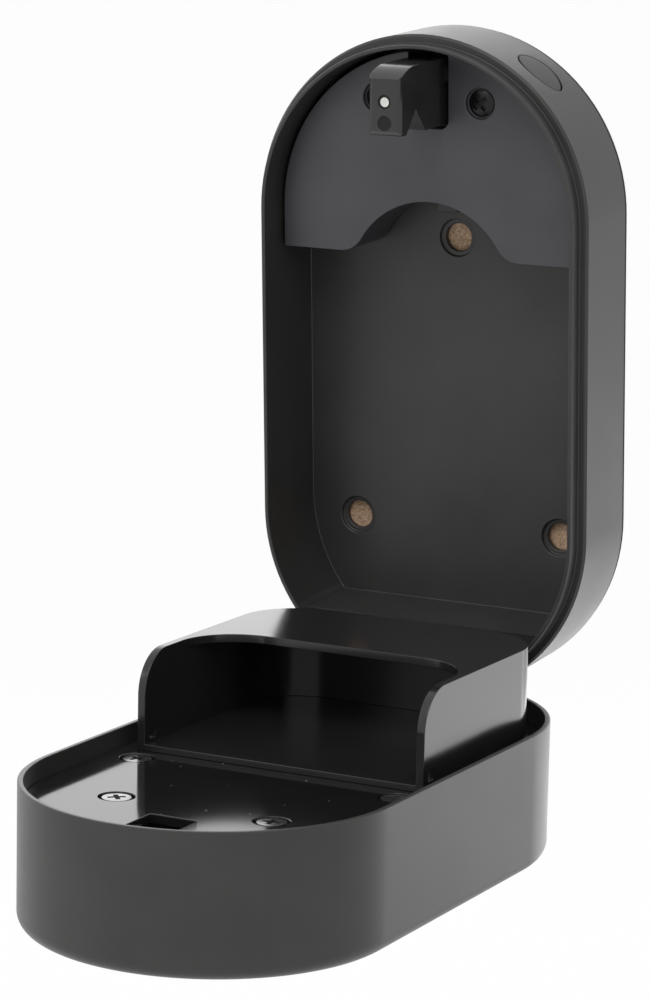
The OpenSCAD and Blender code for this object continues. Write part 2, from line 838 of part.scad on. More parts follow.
// Plan of the bin, moved in by a given amount
module bin_plan(inset) {
    half = bin_r - inset;
    rounded([-half, half], [bin_end_z + inset, bin_front_up + 2 * bin_corner_r], bin_corner_r - inset);
}

// Side section of what stays of the bin in front: a round upper corner
module bin_profile() {
    low = -plate_drop - eps;
    difference() {
        translate([low, bin_end_z - eps]) square([bin_up - low, bin_front_up - bin_end_z + eps]);
        translate([bin_up - bin_round_r, bin_front_up - bin_round_r])
            difference() {
                square(bin_round_r + eps);
                circle(bin_round_r);
            }
    }
}

module storage_bin() {
    roof_y = back(bin_up);
    floor_top = fwd(plate_drop - bin_floor);
    inner = bin_r - bin_wall;
    notch_z = bin_front_up - bin_round_r - bin_notch;
    color(black)
        opened()
            difference() {
                intersection() {
                    slab(fwd(plate_drop), roof_y) bin_plan(0);
                    translate([-body_r, shoulder_y, 0])
                        rotate([90, 0, 90]) linear_extrude(body_w) bin_profile();
                }
                slab(floor_top, roof_y - bin_wall) bin_plan(bin_wall);
                slab(floor_top, roof_y + eps)
                    rounded([-inner, inner], [notch_z, bin_front_up + 3 * bin_notch_r], bin_notch_r);
                for (side = [-1, 1])
                    translate([side * bin_r, floor_top + bin_window_up, bin_front_up - 2 * bin_window])
                        limits([-bin_wall - eps, bin_wall + eps], [0, bin_window], [0, bin_window]);
                for (p = bin_screw_points)
                    bar(p, small_shank_d + 2 * fit, fwd(plate_drop) - eps, floor_top - bin_hole_floor);
            }
}

module bin_screws() {
    shank = plate_t + bin_floor - bin_screw_tip;
    color(dark_steel)
        opened()
            for (p = bin_screw_points)
                cross_screw(p, small_head_d, bin_screw_head_h, small_shank_d, shank, fwd(plate_rear));
}

module lock_case() {
    motor_half = motor_w / 2 + slide_fit;
    bolt_half = bolt_w / 2 + slide_fit;
    rear_y = fwd(plate_rear);
    motor_front = fwd(drive_fwd + motor_t / 2 + slide_fit);
    bolt_bed = fwd(bolt_front + slide_fit);
    lug_half = case_half + case_flange;
    color(grey)
        opened()
            difference() {
                union() {
                    limits([-case_half, case_half], [fwd(case_front), rear_y], [case_bottom_z, case_top_z]);
                    for (z = case_lug_points)
                        limits([-lug_half, lug_half], [fwd(plate_rear + case_flange_t), rear_y],
                               [z - case_lug_h / 2, z + case_lug_h / 2]);
                }
                limits([-motor_half, motor_half], [motor_front, rear_y + eps],
                       [screw_base_z - motor_l - fit, screw_base_z + fit]);
                limits([-bolt_half, bolt_half], [bolt_bed, rear_y + eps], [screw_base_z, case_top_z + eps]);
                for (p = case_screw_points)
                    bar(p, small_shank_d + 2 * fit, fwd(case_front) - eps, rear_y + eps);
            }
}

module case_screws() {
    seat = fwd(plate_rear + case_flange_t);
    shank = case_flange_t + plate_t - case_hole_floor - case_screw_tip;
    color(steel)
        opened()
            for (p = case_screw_points)
                cross_screw(p, small_head_d, small_head_h, small_shank_d, shank, seat);
}

module lock_motor() {
    can = motor_l - gearbox_l;
    color(steel)
        opened()
            translate([0, fwd(drive_fwd), screw_base_z]) {
                limits([-motor_w / 2, motor_w / 2], [-motor_t / 2, motor_t / 2], [-gearbox_l, 0]);
                translate([0, 0, -motor_l])
                    intersection() {
                        cylinder(d = motor_w, h = can + weld);
                        limits([-motor_w, motor_w], [-motor_t / 2, motor_t / 2], [0, can + weld]);
                    }
            }
}

module drive_screw() {
    color(steel)
        opened()
            translate([0, fwd(drive_fwd), screw_base_z + slide_fit]) cylinder(d = screw_d, h = screw_l);
}

// Side section of the bolt, as distance in front of the shoulder and height, with a wedge tip
module bolt_section() {
    rear_drop = (notch_fwd - bolt_rear) * bolt_slope;
    step_drop = bolt_wedge * bolt_slope;
    polygon([[bolt_rear, bolt_base_z], [bolt_front, bolt_base_z],
             [bolt_front, bolt_tip_z - step_drop - bolt_clear],
             [notch_fwd + bolt_wedge, bolt_tip_z - step_drop], [notch_fwd, bolt_tip_z],
             [bolt_rear, bolt_tip_z - rear_drop]]);
}

module lock_bolt() {
    color(dark_steel)
        opened()
            difference() {
                translate([-bolt_w / 2, shoulder_y, 0])
                    rotate([90, 0, 90]) mirror([1, 0]) linear_extrude(bolt_w) bolt_section();
                translate([0, fwd(drive_fwd), bolt_base_z - eps])
                    cylinder(r = screw_d / 2 + pin_fit, h = screw_l + eps + screw_room);
            }
}

module battery_tray() {
    wall_rear = fwd(cell_fwd);
    ear_half = tray_half + tray_ear;
    color(black)
        opened()
            difference() {
                union() {
                    limits([-tray_half, tray_half], [fwd(tray_front), wall_rear],
                           [tray_bottom_z, tray_top_z]);
                    for (end = [-1, 1])
                        translate([0, 0, tray_mid_z + end * tray_screw_pitch / 2])
                            limits([-ear_half, ear_half], [fwd(tray_front), fwd(tray_floor)],
                                   [-tray_ear / 2, tray_ear / 2]);
                }
                limits([-tray_half + tray_wall, tray_half - tray_wall], [fwd(tray_floor), wall_rear + eps],
                       [tray_bottom_z + tray_wall, tray_top_z - tray_wall]);
                for (p = tray_screw_points)
                    bar(p, small_shank_d + 2 * fit, fwd(tray_front) - eps, fwd(tray_floor) + eps);
            }
}

module tray_screws() {
    color(steel)
        opened()
            for (p = tray_screw_points)
                cross_screw(p, small_head_d, small_head_h, small_shank_d, tray_wall + tray_screw_bite,
                            fwd(tray_floor), true);
}

function cell_x(i) = (i - (cells - 1) / 2) * cell_pitch;

module batteries() {
    color("#7c7f86")
        opened()
            for (i = [0 : cells - 1])
                translate([cell_x(i), fwd(cell_fwd), tray_mid_z])
                    rotate([0, i % 2 == 0 ? 0 : 180, 0]) {
                        translate([0, 0, -cell_l / 2]) cylinder(d = cell_d, h = cell_l - cell_nub_h);
                        translate([0, 0, cell_l / 2 - cell_nub_h - weld])
                            cylinder(d = cell_nub_d, h = cell_nub_h + weld);
                    }
}

// A flat contact at each end of each cell, with a raised cap that touches the cell
module battery_contacts() {
    reach = cell_end_room - contact_t;
    color(steel)
        opened()
            for (i = [0 : cells - 1])
                for (end = [-1, 1])
                    translate([cell_x(i), fwd(cell_fwd), tray_mid_z])
                        rotate([0, end > 0 ? 0 : 180, 0])
                            translate([0, 0, cell_l / 2]) {
                                cylinder(d = contact_cap_d, h = reach + weld);
                                limits([-cell_d / 2 + contact_side, cell_d / 2 - contact_side],
                                       [-cell_d / 2, cell_d / 2 - contact_lift], [reach, cell_end_room]);
                            }
}

module circuit_board() {
    color("#1f5a3c")
        opened()
            difference() {
                union() {
                    slab(fwd(board_front), fwd(board_rear))
                        rounded([-board_half, board_half], [board_bottom_z, board_top_z], board_corner_r);
                    limits([-chip_w / 2, chip_w / 2], [fwd(board_rear + weld), fwd(board_rear - chip_t)],
                           [lens_z - chip_down - chip_l, lens_z - chip_down]);
                    limits([part_x, part_x + part_w], [fwd(board_rear + weld), fwd(board_rear - part_t)],
                           [lens_z - part_w, lens_z]);
                }
                for (p = concat(plate_screw_points, tray_screw_points))
                    bar(p, plate_post_d + 2 * slide_fit, fwd(board_front) - eps, fwd(board_rear) + eps);
                for (p = board_screw_points)
                    bar(p, small_shank_d + 2 * fit, fwd(board_front) - eps, fwd(board_rear) + eps);
            }
}

module board_screws() {
    color(steel)
        opened()
            for (p = board_screw_points)
                cross_screw(p, small_head_d, small_head_h, small_shank_d, board_t + board_screw_bite,
                            fwd(board_rear), true);
}

module key_membrane() {
    half = board_half - board_edge;
    color("#55565a")
        opened() {
            slab(fwd(membrane_front), fwd(board_front))
                rounded([-half, half], [membrane_bottom_z, membrane_top_z], board_corner_r);
            for (i = [0 : len(KEY_NAMES) - 1])
                bar([key_x(i), key_z(i)], dome_d, fwd(membrane_front + dome_h), fwd(membrane_front) + weld);
        }
}

module keypad_panel() {
    face_y = fwd(door_d);
    rear_y = fwd(door_d - panel_t);
    color(gloss_black)
        opened()
            difference() {
                slab(face_y, rear_y) stadium(panel_r);
                for (i = [0 : len(KEY_NAMES) - 1])
                    bar([key_x(i), key_z(i)], key_d + 2 * slide_fit, face_y - eps, rear_y + eps);
                bar([0, lens_z], lens_d + 2 * fit, face_y - eps, rear_y + eps);
            }
}

module status_lens() {
    color("#c8d4d8")
        opened()
            bar([0, lens_z], lens_d, fwd(door_d), fwd(board_front));
}

// A push key: a round cap with a flange that holds it behind the front wall
module push_key(i) {
    at = [key_x(i), key_z(i)];
    color(grey)
        opened()
            difference() {
                union() {
                    bar(at, key_d, fwd(door_d + key_proud), fwd(key_flange_rear));
                    bar(at, flange_d, fwd(key_flange_front), fwd(key_flange_rear));
                }
                bar(at, key_d - 2 * key_shell, fwd(key_flange_front + key_skin), fwd(key_flange_rear) + eps);
            }
}

wall_housing();
wall_pad();
mechanism_cover();
cover_screws();
latch_tongue();
tongue_screws();
sensing_magnet();
shackle_plugs();
hinge_pin();
door_shell();
inner_plate();
plate_screws();
storage_bin();
bin_screws();
lock_case();
case_screws();
lock_motor();
drive_screw();
lock_bolt();
battery_tray();
tray_screws();
batteries();
battery_contacts();
circuit_board();
board_screws();
key_membrane();
keypad_panel();
status_lens();
for (i = [0 : len(KEY_NAMES) - 1])
    push_key(i);
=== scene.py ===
# %% [markdown]
# # A wall key safe with a fold-down door
#
# This lesson dresses a packed mechanical model. The model brings the true sizes and the
# moving bodies; Blender adds edges that catch light, screw heads, key caps and finishes.
# Everything is in metres, in the model's own frame: the wall is the plane y = 0, the front
# faces -Y and +Z is up. The door rests open, and its pieces ride on the body called door.

# %% Load the model
import json
import math

import bmesh
import bpy
from mathutils import Matrix, Quaternion, Vector
from mathutils.bvhtree import BVHTree


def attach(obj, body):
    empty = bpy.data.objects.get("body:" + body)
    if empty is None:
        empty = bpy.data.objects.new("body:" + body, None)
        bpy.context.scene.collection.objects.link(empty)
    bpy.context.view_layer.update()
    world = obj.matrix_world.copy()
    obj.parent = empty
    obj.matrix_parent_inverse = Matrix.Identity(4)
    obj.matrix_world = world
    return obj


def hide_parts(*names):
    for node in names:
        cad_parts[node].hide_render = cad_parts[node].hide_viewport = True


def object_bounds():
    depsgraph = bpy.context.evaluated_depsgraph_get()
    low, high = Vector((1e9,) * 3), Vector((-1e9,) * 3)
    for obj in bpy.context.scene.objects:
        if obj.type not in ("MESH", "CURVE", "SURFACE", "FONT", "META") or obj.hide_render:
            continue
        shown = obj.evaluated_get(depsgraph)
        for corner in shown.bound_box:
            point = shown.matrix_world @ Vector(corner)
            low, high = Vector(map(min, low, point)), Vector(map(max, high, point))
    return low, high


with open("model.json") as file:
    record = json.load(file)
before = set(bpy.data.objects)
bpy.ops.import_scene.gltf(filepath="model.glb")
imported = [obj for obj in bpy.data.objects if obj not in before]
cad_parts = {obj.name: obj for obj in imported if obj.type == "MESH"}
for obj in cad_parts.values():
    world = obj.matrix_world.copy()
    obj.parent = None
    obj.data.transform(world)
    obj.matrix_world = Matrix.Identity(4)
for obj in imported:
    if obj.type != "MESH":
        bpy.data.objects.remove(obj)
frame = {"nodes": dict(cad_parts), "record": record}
nodes = frame["nodes"]
record = frame["record"]
cad_low, cad_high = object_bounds()
MM = 0.001
scene = bpy.context.scene
scene.view_settings.view_transform = "Standard"
print("model box in mm:", [round(v / MM, 1) for v in cad_high - cad_low])

# %% [markdown]
# ## Camera
#
# A long lens about 0.8 m away keeps the two pill shapes nearly parallel, as on a catalogue
# picture. The sensor width spans the long side of the picture, which is its height here.
# The camera is aimed with a direction and a half-degree roll instead of a tracked target,
# so that nothing else in the scene has to move with it.

# %% Place the camera
SENSOR_MM = 36.0
LENS_MM = 135.86
CAMERA_PLACE = (0.35681, -0.73550, 0.16300)
VIEW_DIRECTION = Vector((-0.45719, 0.85823, -0.23327))
CAMERA_ROLL = math.radians(-0.4985)
lens = bpy.data.cameras.new("catalogue_camera")
lens.sensor_width = SENSOR_MM
lens.lens = LENS_MM
camera = bpy.data.objects.new("catalogue_camera", lens)
scene.collection.objects.link(camera)
camera.location = CAMERA_PLACE
camera.rotation_mode = "QUATERNION"
camera.rotation_quaternion = (VIEW_DIRECTION.to_track_quat("-Z", "Y")
                              @ Quaternion((0, 0, 1), CAMERA_ROLL))
scene.camera = camera
print("camera stands", round(camera.location.length, 3), "m from the middle of the pad")

# %% [markdown]
# ## Studio
#
# Black plastic has almost no colour of its own: what we see is mostly what it mirrors. A
# white surround therefore does most of the work, and a few large soft lamps only shape it.
# The floor could be pure white everywhere, but then the object would float. So what the
# camera and the reflections see is part plain white and part lit floor, which keeps the shadow.

# %% A helper that adds nodes
def add(tree, kind, settings=None, fill=None):
    """Adds a node, sets its options, and fills its inputs with values or with other sockets."""
    made = tree.nodes.new(kind)
    for option, choice in (settings or {}).items():
        setattr(made, option, choice)
    for socket, value in (fill or {}).items():
        if isinstance(value, bpy.types.NodeSocket):
            tree.links.new(value, made.inputs[socket])
        else:
            made.inputs[socket].default_value = value
    return made


def calc(tree, operation, first, second=0.0):
    """The output socket of a Math node."""
    return add(tree, "ShaderNodeMath", {"operation": operation}, {0: first, 1: second}).outputs[0]


def seen_directly(tree):
    """1 for camera, glossy and transmission rays, which show the studio as a picture."""
    rays = add(tree, "ShaderNodeLightPath").outputs
    either = calc(tree, "MAXIMUM", rays["Is Camera Ray"], rays["Is Glossy Ray"])
    return calc(tree, "MAXIMUM", either, rays["Is Transmission Ray"])


# %% Lay the floor
FLOOR_DROP = 0.30  # metres below the open door
FLOOR_HALF = 9.0  # half of the floor's side, in metres
FLOOR_WHITE = 0.95  # the share of plain white in what is seen of the floor
FLOOR_PAINT = (0.92, 0.92, 0.92, 1)
WHITE = (1, 1, 1, 1)
floor_z = cad_low.z - FLOOR_DROP
floor_mesh = bpy.data.meshes.new("studio_floor")
floor_mesh.from_pydata([(x * FLOOR_HALF, y * FLOOR_HALF, floor_z)
                        for x, y in ((-1, -1), (1, -1), (1, 1), (-1, 1))], [], [(0, 1, 2, 3)])
floor = bpy.data.objects.new("studio_floor", floor_mesh)
scene.collection.objects.link(floor)

paint = bpy.data.materials.new("white_floor")
paint.use_nodes = True
tree = paint.node_tree
tree.nodes.clear()
lit = add(tree, "ShaderNodeBsdfDiffuse", fill={"Color": FLOOR_PAINT})
plain = add(tree, "ShaderNodeEmission", fill={"Color": WHITE, "Strength": 1.0})
share = calc(tree, "MULTIPLY", seen_directly(tree), FLOOR_WHITE)
mixed = add(tree, "ShaderNodeMixShader", fill={"Fac": share, 1: lit.outputs[0], 2: plain.outputs[0]})
add(tree, "ShaderNodeOutputMaterial", fill={"Surface": mixed.outputs[0]})
floor_mesh.materials.append(paint)
print("floor lies", FLOOR_DROP, "m below the door")

# %% Light the studio
AMBIENT = 0.62  # the light that the surround casts, where 1 is as bright as it looks
world = bpy.data.worlds.new("white_surround")
scene.world = world
world.use_nodes = True
tree = world.node_tree
tree.nodes.clear()
ambient = add(tree, "ShaderNodeBackground", fill={"Color": WHITE, "Strength": AMBIENT})
picture = add(tree, "ShaderNodeBackground", fill={"Color": WHITE, "Strength": 1.0})
mixed = add(tree, "ShaderNodeMixShader",
            fill={"Fac": seen_directly(tree), 1: ambient.outputs[0], 2: picture.outputs[0]})
add(tree, "ShaderNodeOutputWorld", fill={"Surface": mixed.outputs[0]})


def soft_lamp(name, place, aim, size, brightness):
    """A soft box; its brightness is what a mirror would show, where 1 is the white of the surround."""
    data = bpy.data.lights.new(name, "AREA")
    data.shape = "RECTANGLE"
    data.size, data.size_y = size
    data.energy = math.pi * size[0] * size[1] * brightness
    lamp = bpy.data.objects.new(name, data)
    scene.collection.objects.link(lamp)
    lamp.location = place
    lamp.rotation_mode = "QUATERNION"
    lamp.rotation_quaternion = (Vector(aim) - Vector(place)).to_track_quat("-Z", "Y")
    lamp.visible_camera = False


LAMPS = [  # name, place, the point it is aimed at, width and height in metres, brightness
    ("above_front", (0.1, -0.9, 1.2), (0, -0.05, 0), (1.0, 0.8), 3.2),
    ("left_fill", (-1.1, -0.8, 0.5), (0, -0.05, 0), (0.8, 1.0), 1.2),
    ("right_rear_strip", (0.36, 0.55, -0.23), (0.04, -0.04, -0.07), (0.36, 0.17), 1.1),
    ("rear_low_strip", (0.05, 0.5, -0.30), (0.03, -0.01, -0.04), (0.4, 0.14), 1.3),
    ("left_rear_panel", (-0.5, 0.9, 0.25), (0, -0.05, 0), (0.9, 0.7), 1.05),
]
for lamp_row in LAMPS:
    soft_lamp(*lamp_row)
print("lamps:", [row[0] for row in LAMPS])

# %% [markdown]
# ## Finishes
#
# Each finish is a small node tree on Object coordinates, so its grain has the same size on
# every piece. A coarse noise shifts the tone and the gloss a little, as moulded or coated
# parts do, and a fine noise gives the grain as bump. What is the same all over the surface
# is set on the shader itself.

# %% Helpers for finishes
DARK_AT, LIGHT_AT = 0.3, 0.7  # where the coarse noise counts as fully dark and fully light
GRAIN_DEPTH = 0.05 * MM
SPECK_SHARE = 0.075  # the largest speck of dust, as a share of the distance between specks
DUST = (0.40, 0.40, 0.38, 1)


def blend(tree, share, first, second):
    """The first colour where the share is 0, the second where it is 1."""
    mix = add(tree, "ShaderNodeMix", {"data_type": "RGBA"}, {0: share, 6: first, 7: second})
    return mix.outputs[2]


def finish(name, colour, rough, spread=0.06, tone=0.12, cloud=14.0, grain=0.0, grain_size=0.35,
           metallic=0.0, specular=0.5, dust=0.0):
    """A finish whose tone and roughness drift, with a fine grain or specks of dust; sizes are in millimetres."""
    material = bpy.data.materials.new(name)
    material.use_nodes = True
    tree = material.node_tree
    shader = tree.nodes["Principled BSDF"]
    shader.inputs["Metallic"].default_value = metallic
    shader.inputs["Specular IOR Level"].default_value = specular
    where = add(tree, "ShaderNodeTexCoord").outputs["Object"]
    drift = add(tree, "ShaderNodeTexNoise",
                fill={"Vector": where, "Scale": 1 / (cloud * MM), "Detail": 4.0}).outputs["Fac"]
    ramp = add(tree, "ShaderNodeValToRGB", fill={"Fac": drift})
    for element, at, change in zip(ramp.color_ramp.elements, (DARK_AT, LIGHT_AT), (1 - tone, 1 + tone)):
        element.position = at
        element.color = (*[c * change for c in colour], 1)
    shade = ramp.outputs["Color"]
    if dust:
        cells = add(tree, "ShaderNodeTexVoronoi", fill={"Vector": where, "Scale": 1 / (dust * MM)})
        chance = add(tree, "ShaderNodeSeparateColor", fill={0: cells.outputs["Color"]}).outputs[0]
        reach = calc(tree, "MULTIPLY", chance, SPECK_SHARE)
        speck = calc(tree, "LESS_THAN", cells.outputs["Distance"], reach)
        shade = blend(tree, speck, shade, DUST)
    tree.links.new(shade, shader.inputs["Base Color"])
    gloss = add(tree, "ShaderNodeMapRange",
                fill={"Value": drift, "To Min": rough - spread, "To Max": rough + spread})
    tree.links.new(gloss.outputs["Result"], shader.inputs["Roughness"])
    if grain:
        fine = add(tree, "ShaderNodeTexNoise",
                   fill={"Vector": where, "Scale": 1 / (grain_size * MM), "Detail": 2.0})
        bump = add(tree, "ShaderNodeBump",
                   fill={"Height": fine.outputs["Fac"], "Strength": grain, "Distance": GRAIN_DEPTH})
        tree.links.new(bump.outputs["Normal"], shader.inputs["Normal"])
    return material


# %% Mix the finishes
FINISHES = {
    "body_black": finish("body_black", (0.037, 0.0358, 0.035), 0.36, grain=0.15, grain_size=0.3, specular=0.38),
    "plug_black": finish("plug_black", (0.03, 0.03, 0.03), 0.5, grain=0.2),
    "cover_grey": finish("cover_grey", (0.045, 0.045, 0.052), 0.40, grain=0.25, grain_size=0.25),
    "bin_black": finish("bin_black", (0.016, 0.016, 0.017), 0.18, spread=0.04),
    "plate_black": finish("plate_black", (0.012, 0.012, 0.012), 0.09, spread=0.03, cloud=25, specular=0.3, dust=3.0),
    "tray_black": finish("tray_black", (0.035, 0.035, 0.037), 0.5, grain=0.3),
    "screw_black": finish("screw_black", (0.022, 0.022, 0.023), 0.28, metallic=0.85, grain=0.15),
    "steel": finish("steel", (0.46, 0.465, 0.475), 0.30, metallic=1.0, grain=0.1),
    "board_green": finish("board_green", (0.007, 0.05, 0.024), 0.4, cloud=3),
    "membrane_grey": finish("membrane_grey", (0.2, 0.2, 0.21), 0.7, grain=0.2),
    "key_grey": finish("key_grey", (0.07, 0.07, 0.075), 0.42, grain=0.2),
    "cork_brown": finish("cork_brown", (0.47, 0.32, 0.21), 0.85, tone=0.5, cloud=0.55, grain=0.8),
    "lens_clear": finish("lens_clear", (0.48, 0.52, 0.54), 0.12),
}
OWN_FINISH = {  # pieces that differ from the others in their slot; the plate screws' lighter metal is painted sheen
    "latch_tongue": finish("tongue_black", (0.020, 0.019, 0.019), 0.24, spread=0.05, grain=0.05),
    # painted sheen: the plate screws are as black as the others, and this lighter metal stands in for their
    # highlights
    "plate_screws": finish("screw_painted_sheen", (0.24, 0.24, 0.245), 0.22, metallic=0.9, grain=0.1),
    "sensing_magnet": finish("nickel", (0.66, 0.645, 0.615), 0.3, metallic=1.0, grain=0.1, cloud=2),
    "keypad_panel": finish("panel_black", (0.012, 0.012, 0.012), 0.14, spread=0.03, cloud=25, specular=0.3),
}
print("finishes:", sorted(FINISHES), "and", len(OWN_FINISH), "that belong to one piece")

# %% Paint shade on the pad's sides and light on the tongue's notch
# near-black painted shade for the pad's sides
PAD_GAP_SHADE = (0.015, 0.014, 0.013, 1)
# a lighter grey for painted light on the notch's slopes
NOTCH_PAINTED_LIGHT = (0.07, 0.069, 0.07, 1)


def recolour(material, axis, low, high, colour):
    """Another colour where a face's normal lies between low and high along an axis; for pieces that never move."""
    tree = material.node_tree
    colour_socket = tree.nodes["Principled BSDF"].inputs["Base Color"]
    usual = colour_socket.links[0].from_socket
    facing = add(tree, "ShaderNodeNewGeometry").outputs["True Normal"]
    way = add(tree, "ShaderNodeSeparateXYZ", fill={0: facing})
    above = calc(tree, "GREATER_THAN", way.outputs[axis], low)
    below = calc(tree, "LESS_THAN", way.outputs[axis], high)
    tree.links.new(blend(tree, calc(tree, "MULTIPLY", above, below), usual, colour), colour_socket)


recolour(FINISHES["cork_brown"], "Y", -0.5, 0.5, PAD_GAP_SHADE)  # painted shade on the sides of the pad, where it sits in the gap between housing and wall
recolour(OWN_FINISH["latch_tongue"], "Z", -0.85, -0.4, NOTCH_PAINTED_LIGHT)  # painted light: the downward slopes of the notch are made lighter to look lit
print("recoloured: the pad's edge and the tongue's notch")

# %% Give every model piece its finish
slot_of = {row["node"]: row["material_slot"] for row in record["subparts"]}
body_of = {name: body for body, names in record["behaviour"]["bodies"].items() for name in names}
finish_of = {name: OWN_FINISH.get(name, FINISHES[slot]) for name, slot in slot_of.items()}
for node_name, node_object in nodes.items():
    node_object.data.materials.clear()
    node_object.data.materials.append(finish_of[node_name])
print(len(nodes), "model pieces have a finish")

# %% [markdown]
# ## Moulded and coated pieces
#
# No moulding has a knife edge: a tool is always a little round, and a coat of paint rounds it
# more. That thin round edge is what draws the bright lines round the housing and the door.
# We could sculpt each piece again, but the model already has the right shape. So we copy it,
# merge its loose triangles, join the flat ones, and bevel only the sharp edges.

# %% Helpers that copy a model piece and dress it
MERGE = 1e-6  # points closer than this, in metres, are one point
FLAT = math.radians(0.3)  # faces that bend less than this are joined
CRISP = math.radians(30)  # edges that bend more than this keep a hard line if they aren't rounded
SHARP = math.radians(35)  # edges that bend more than this are rounded, where a piece has no limit of its own


def along(points, axis):
    """The least and the greatest reach of some points along an axis."""
    reach = [p.dot(axis) for p in points]
    return min(reach), max(reach)


def linked(name, mesh):
    """A new piece in the scene, at the origin."""
    piece = bpy.data.objects.new(name, mesh)
    scene.collection.objects.link(piece)
    return piece


def settled(piece):
    """Turns what the modifiers make into the piece's own plain mesh."""
    graph = bpy.context.evaluated_depsgraph_get()
    mesh = bpy.data.meshes.new_from_object(piece.evaluated_get(graph), depsgraph=graph)
    piece.modifiers.clear()
    piece.data = mesh
    return piece


def merged_copy(node_name, least):
    """The model's mesh with its triangles merged; crisp edges under the least angle keep a hard line."""
    source = nodes[node_name].data
    mesh = bpy.data.meshes.new(node_name + "_merged")
    mesh.from_pydata([v.co for v in source.vertices], [], [tuple(p.vertices) for p in source.polygons])
    shape = bmesh.new()
    shape.from_mesh(mesh)
    bmesh.ops.remove_doubles(shape, verts=shape.verts, dist=MERGE)
    bmesh.ops.dissolve_limit(shape, angle_limit=FLAT, verts=shape.verts, edges=shape.edges)
    for face in shape.faces:
        face.smooth = True
    for edge in shape.edges:
        edge.smooth = not CRISP < edge.calc_face_angle(0.0) < least
    shape.to_mesh(mesh)
    shape.free()
    return mesh


def softened(node_name, radius, least):
    """A copy of a model piece with its sharp edges rounded; the radius is in millimetres."""
    piece = linked(node_name + "_soft", merged_copy(node_name, least))
    bevel = piece.modifiers.new("round_edge", "BEVEL")
    bevel.width = radius * MM
    bevel.segments = 2
    bevel.limit_method = "ANGLE"
    bevel.angle_limit = least
    bevel.use_clamp_overlap = False
    bevel.loop_slide = False
    bevel.miter_outer = "MITER_ARC"
    piece.modifiers.new("flat_faces", "WEIGHTED_NORMAL").keep_sharp = True
    return settled(piece)


def stands_for(piece, node_name):
    """Gives a piece the finish of a model piece, lets it ride on the same body, and hides the model's."""
    piece.data.materials.clear()
    piece.data.materials.append(finish_of[node_name])
    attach(piece, body_of[node_name])
    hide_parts(node_name)


# %% Values for the edges
EDGE_RADIUS = {"wall_housing": 0.25, "mechanism_cover": 0.2, "latch_tongue": 0.12, "shackle_plugs": 0.25,
               "door_shell": 0.25, "inner_plate": 0.25, "storage_bin": 0.15, "keypad_panel": 0.12}  # in mm
LEAST_DEGREES = {"latch_tongue": 60, "wall_housing": 60, "door_shell": 50}  # leaves their small chamfers alone
PLUG_GAP = 0.2 * MM
MOST_OUT = 0.12 * MM  # how far a rounded corner may stand out of the model
RIM_Y = -21.0 * MM  # where the shut door meets the housing; the housing and its pad are 21 mm deep
RIM_GAP = 0.15 * MM
TOUCH = 0.01 * MM
hinge = next(j for j in record["behaviour"]["joints"] if j["name"] == "door_hinge")
OPEN_TURN = (Matrix.Translation(hinge["pos_m"]) @ Matrix.Rotation(math.radians(hinge["range_deg"][1]), 4, "X")
             @ Matrix.Translation(Vector(hinge["pos_m"])).inverted())
print("the door opens by", hinge["range_deg"][1], "degrees")


# %% Helpers that mind the neighbours
def tucked(piece, node_name):
    """Puts corner points that the rounding threw out of the model back on its surface."""
    shape = bmesh.new()
    shape.from_mesh(nodes[node_name].data)
    surface = BVHTree.FromBMesh(shape)
    shape.free()
    for v in piece.data.vertices:
        near, normal, _, far = surface.find_nearest(v.co)
        if far > MOST_OUT and (v.co - near).dot(normal) > 0:
            v.co = near


def drawn_back(piece):
    """Draws the door's rim a hair back from the housing, so that the shut door leaves a fine dark line."""
    for v in piece.data.vertices:
        shut = OPEN_TURN.inverted() @ v.co
        if RIM_Y - 2 * RIM_GAP < shut.y < RIM_Y + TOUCH:
            v.co = OPEN_TURN @ (shut - Vector((0, RIM_GAP, 0)))


def slimmed(piece, gap):
    """Draws the two upright plugs in from their holes, so that a dark line shows round each."""
    for side in (-1, 1):
        plug = [v for v in piece.data.vertices if v.co.x * side > 0]
        ends = [along([v.co for v in plug], axis) for axis in (Vector((1, 0, 0)), Vector((0, 1, 0)))]
        middle = Vector([(low + high) / 2 for low, high in ends])
        share = 1 - 2 * gap / (ends[1][1] - ends[1][0])
        for v in plug:
            v.co.xy = middle + (v.co.xy - middle) * share


# %% Round the edges of the main pieces
for node_name, edge_radius in EDGE_RADIUS.items():
    least_angle = math.radians(LEAST_DEGREES[node_name]) if node_name in LEAST_DEGREES else SHARP
    rounded_piece = softened(node_name, edge_radius, least_angle)
    tucked(rounded_piece, node_name)
    if node_name == "shackle_plugs":
        slimmed(rounded_piece, PLUG_GAP)
    if node_name == "door_shell":
        drawn_back(rounded_piece)
    stands_for(rounded_piece, node_name)
    print(rounded_piece.name, "has", len(rounded_piece.data.polygons), "faces")

# %% [markdown]
# ## Painted shade in the tongue's end
#
# The tongue's end holds a small magnet, which tells the lock that the door is shut. The step round
# it gets a near-black ring of painted shade, and a second pocket below, which holds no magnet, gets
# a near-black disc of painted shade. Both shapes are round, so we list half of a section and turn it
# about an axis; a tube along a circle would do for the ring, but its section would always be round.

# %% Turn the shaded ring and the shaded disc
TURN_STEPS = 48
